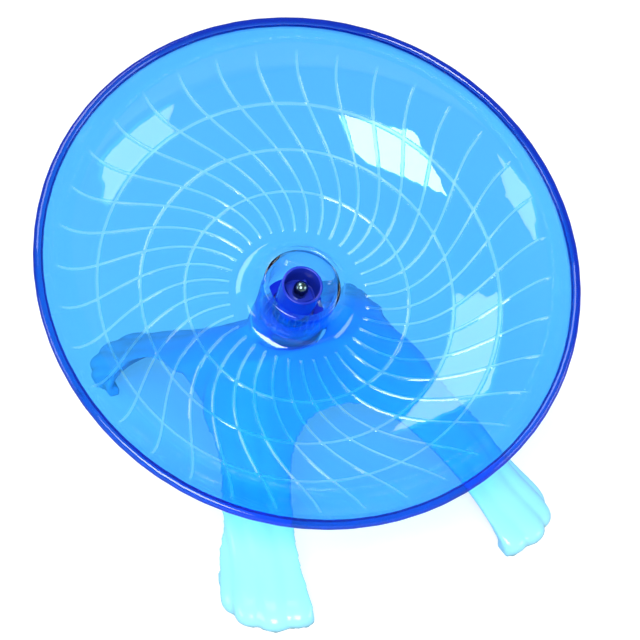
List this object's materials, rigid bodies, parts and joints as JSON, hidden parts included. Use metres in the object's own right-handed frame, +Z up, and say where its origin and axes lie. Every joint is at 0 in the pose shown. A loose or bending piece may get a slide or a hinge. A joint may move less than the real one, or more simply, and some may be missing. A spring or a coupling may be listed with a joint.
{
  "type": "flying saucer hamster wheel",
  "caption": "Clear blue saucer wheel for a hamster, with curved grip ribs, turning on a ball bearing over a low pale cyan stand with fluted legs.",
  "frame": {"origin": "on the surface it stands on, in the middle of the overall footprint", "axes": "+Z up, the dish leans down towards -Y, +X to the right of a person facing its low side"},
  "size_m": [0.18, 0.1915, 0.1472],
  "materials": {
    "clear_blue": "clear, polished",
    "pale_cyan": "gloss moulding",
    "dark_blue": "gloss moulding",
    "bearing_steel": "polished",
    "cage_steel": "pressed sheet",
    "collar_steel": "turned, dark",
    "fixing_steel": "bright plated"
  },
  "bodies": {
    "stand": {"stand": "pale_cyan", "spindle": "fixing_steel", "spindle_washer": "fixing_steel", "bearing_inner_race": "bearing_steel", "spacer_collar": "collar_steel", "hub_cap": "dark_blue", "square_nut": "fixing_steel"},
    "dish": {"dish": "clear_blue", "bearing_retainer": "dark_blue", "bearing_outer_race": "bearing_steel", "bearing_upper_shield": "bearing_steel", "bearing_lower_shield": "bearing_steel"},
    "cage": {"bearing_cage": "cage_steel", "bearing_balls": "bearing_steel"}
  },
  "joints": [
    {"name": "dish_spin", "type": "hinge", "parent": "stand", "child": "dish", "pos_m": [0, 0.00419, 0.0545], "axis": [0, -0.6157, 0.788], "continuous": true},
    {"name": "cage_spin", "type": "hinge", "parent": "stand", "child": "cage", "pos_m": [0, 0.00419, 0.0545], "axis": [0, -0.6157, 0.788], "continuous": true}
  ],
  "couplings": [
    {"joint": "cage_spin", "follows": "dish_spin", "ratio": 0.632}
  ]
}
